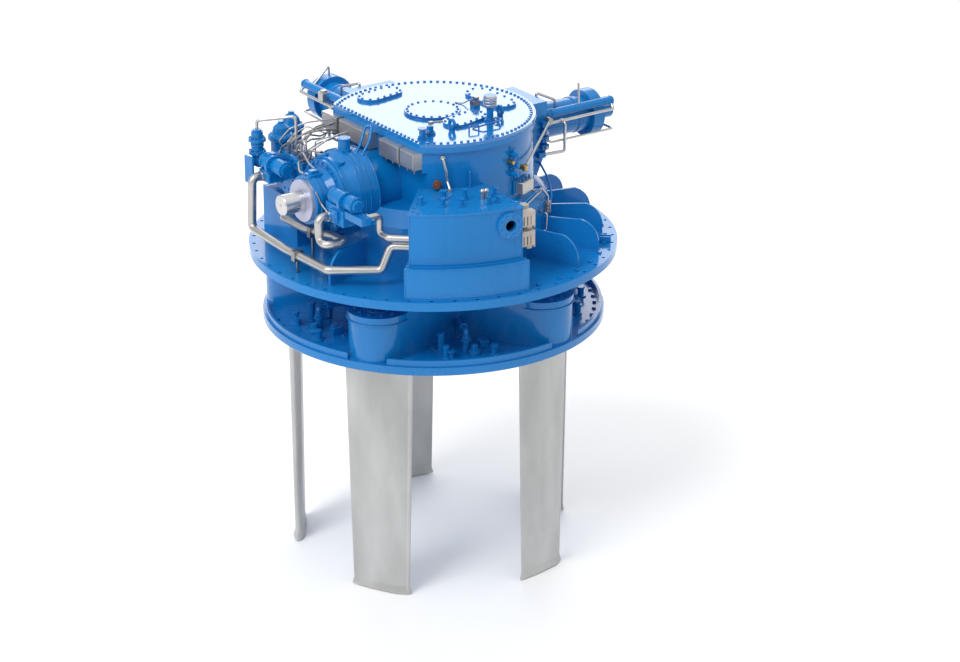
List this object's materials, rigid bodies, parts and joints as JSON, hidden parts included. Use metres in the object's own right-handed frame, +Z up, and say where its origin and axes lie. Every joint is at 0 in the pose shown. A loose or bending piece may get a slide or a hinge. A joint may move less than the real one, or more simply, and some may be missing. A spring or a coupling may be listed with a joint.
{
  "type": "cycloidal propeller",
  "caption": "Marine cycloidal propeller: blue housing with a hull flange and side servomotors above a rotor disc that carries vertical steel blades.",
  "frame": {"origin": "on the rotor axis, at the mounting face under the hull flange", "axes": "+Z up along the rotor axis, the input shaft points along -X, the servomotors lie along +X and +Y"},
  "size_m": [4.0138, 4.0139, 4.856],
  "materials": {
    "housing_paint": "glossy",
    "rotor_paint": "glossy",
    "bolt_paint": "glossy",
    "blade_steel": "satin",
    "pipe_steel": "satin",
    "shaft_steel": "satin",
    "ring_steel": "satin",
    "box_grey": "satin",
    "hood_beige": "matt",
    "gear_steel": "oiled",
    "bearing_steel": "ground",
    "bearing_bronze": "machined"
  },
  "bodies": {
    "housing": {"bearing_nose": "housing_paint", "bearing_outer_race": "bearing_steel", "cable_connectors": "hood_beige", "cap_ring": "ring_steel", "cover_bolts": "bolt_paint", "cover_fittings": "housing_paint", "equipment_frame": "housing_paint", "flange_ribs": "housing_paint", "gear_barrel": "housing_paint", "gearbox_cover": "housing_paint", "hatch_lids": "housing_paint", "hull_flange": "housing_paint", "hydraulic_lines": "pipe_steel", "lower_housing": "housing_paint", "oil_filters": "housing_paint", "oil_pipes": "pipe_steel", "oil_pumps": "housing_paint", "oil_tank": "housing_paint", "pivot_carrier": "housing_paint", "relief_valve": "housing_paint", "servo_cylinders": "housing_paint", "servo_pipes": "pipe_steel", "servo_tails": "housing_paint", "shaft_bearing": "bearing_steel", "tank_lid": "housing_paint", "tank_port": "housing_paint", "terminal_boxes": "box_grey", "top_cover": "housing_paint", "upper_housing": "housing_paint"},
    "rotor": {"rotor_disc": "rotor_paint", "rotor_neck": "rotor_paint", "blade_housings": "rotor_paint", "bearing_caps": "rotor_paint", "cap_bolts": "bolt_paint", "blade_bearings": "bearing_bronze", "bay_fittings": "rotor_paint", "crown_gear": "gear_steel", "bearing_inner_race": "bearing_steel"},
    "input_shaft": {"input_shaft": "shaft_steel"},
    "roller_cage": {"roller_cage": "bearing_bronze"},
    "servo_piston_x": {"servo_piston_x": "gear_steel"},
    "servo_piston_y": {"servo_piston_y": "gear_steel"},
    "gimbal_ring": {"gimbal_ring": "gear_steel"},
    "control_column": {"control_column": "gear_steel"},
    "steering_disc": {"steering_disc": "gear_steel"},
    "blade_1": {"blade_1": "blade_steel", "blade_lever_1": "gear_steel"},
    "link_rod_1": {"link_rod_1": "gear_steel"},
    "blade_2": {"blade_2": "blade_steel", "blade_lever_2": "gear_steel"},
    "link_rod_2": {"link_rod_2": "gear_steel"},
    "blade_3": {"blade_3": "blade_steel", "blade_lever_3": "gear_steel"},
    "link_rod_3": {"link_rod_3": "gear_steel"},
    "blade_4": {"blade_4": "blade_steel", "blade_lever_4": "gear_steel"},
    "link_rod_4": {"link_rod_4": "gear_steel"},
    "blade_5": {"blade_5": "blade_steel", "blade_lever_5": "gear_steel"},
    "link_rod_5": {"link_rod_5": "gear_steel"}
  },
  "joints": [
    {"name": "rotor_spin", "type": "hinge", "parent": "housing", "child": "rotor", "pos_m": [0, 0, 0], "axis": [0, 0, 1], "continuous": true},
    {"name": "input_spin", "type": "hinge", "parent": "housing", "child": "input_shaft", "pos_m": [0, 0, 0.77], "axis": [-1, 0, 0], "continuous": true},
    {"name": "cage_spin", "type": "hinge", "parent": "housing", "child": "roller_cage", "pos_m": [0, 0, 0.1], "axis": [0, 0, 1], "continuous": true},
    {"name": "gimbal_tilt", "type": "hinge", "parent": "housing", "child": "gimbal_ring", "pos_m": [0, 0, 0.3], "axis": [0, 1, 0], "range_deg": [-6, 6]},
    {"name": "column_tilt", "type": "hinge", "parent": "gimbal_ring", "child": "control_column", "pos_m": [0, 0, 0.3], "axis": [1, 0, 0], "range_deg": [-6, 6]},
    {"name": "steering_spin", "type": "hinge", "parent": "control_column", "child": "steering_disc", "pos_m": [0, 0, 0.3], "axis": [0, 0, 1], "continuous": true},
    {"name": "servo_x_stroke", "type": "slide", "parent": "housing", "child": "servo_piston_x", "axis": [1, 0, 0], "range_m": [-0.0775, 0.0775]},
    {"name": "servo_y_stroke", "type": "slide", "parent": "housing", "child": "servo_piston_y", "axis": [0, 1, 0], "range_m": [-0.0775, 0.0775]},
    {"name": "blade_1_swing", "type": "hinge", "parent": "rotor", "child": "blade_1", "pos_m": [1.39867, -0.06107, -0.75], "axis": [0, 0, 1], "range_deg": [-42, 42]},
    {"name": "link_1_swing", "type": "hinge", "parent": "blade_1", "child": "link_rod_1", "pos_m": [1.40608, 0.10877, -0.37], "axis": [0, 0, 1], "range_deg": [-42, 42]},
    {"name": "blade_2_swing", "type": "hinge", "parent": "rotor", "child": "blade_2", "pos_m": [0.49029, 1.31134, -0.75], "axis": [0, 0, 1], "range_deg": [-42, 42]},
    {"name": "link_2_swing", "type": "hinge", "parent": "blade_2", "child": "link_rod_2", "pos_m": [0.33106, 1.37088, -0.37], "axis": [0, 0, 1], "range_deg": [-42, 42]},
    {"name": "blade_3_swing", "type": "hinge", "parent": "rotor", "child": "blade_3", "pos_m": [-1.09565, 0.87152, -0.75], "axis": [0, 0, 1], "range_deg": [-42, 42]},
    {"name": "link_3_swing", "type": "hinge", "parent": "blade_3", "child": "link_rod_3", "pos_m": [-1.20148, 0.73848, -0.37], "axis": [0, 0, 1], "range_deg": [-42, 42]},
    {"name": "blade_4_swing", "type": "hinge", "parent": "rotor", "child": "blade_4", "pos_m": [-1.16744, -0.77271, -0.75], "axis": [0, 0, 1], "range_deg": [-42, 42]},
    {"name": "link_4_swing", "type": "hinge", "parent": "blade_4", "child": "link_rod_4", "pos_m": [-1.07361, -0.91447, -0.37], "axis": [0, 0, 1], "range_deg": [-42, 42]},
    {"name": "blade_5_swing", "type": "hinge", "parent": "rotor", "child": "blade_5", "pos_m": [0.37413, -1.34908, -0.75], "axis": [0, 0, 1], "range_deg": [-42, 42]},
    {"name": "link_5_swing", "type": "hinge", "parent": "blade_5", "child": "link_rod_5", "pos_m": [0.53795, -1.30365, -0.37], "axis": [0, 0, 1], "range_deg": [-42, 42]}
  ],
  "couplings": [
    {"joint": "input_spin", "follows": "rotor_spin", "ratio": 4.8},
    {"joint": "cage_spin", "follows": "rotor_spin", "ratio": 0.5},
    {"joint": "steering_spin", "follows": "rotor_spin", "ratio": 1},
    {"joint": "servo_x_stroke", "follows": "gimbal_tilt", "m_per_rad": 0.735},
    {"joint": "servo_y_stroke", "follows": "column_tilt", "m_per_rad": -0.735},
    {"joint": "link_1_swing", "follows": "blade_1_swing", "ratio": -1},
    {"joint": "link_2_swing", "follows": "blade_2_swing", "ratio": -1},
    {"joint": "link_3_swing", "follows": "blade_3_swing", "ratio": -1},
    {"joint": "link_4_swing", "follows": "blade_4_swing", "ratio": -1},
    {"joint": "link_5_swing", "follows": "blade_5_swing", "ratio": -1}
  ]
}
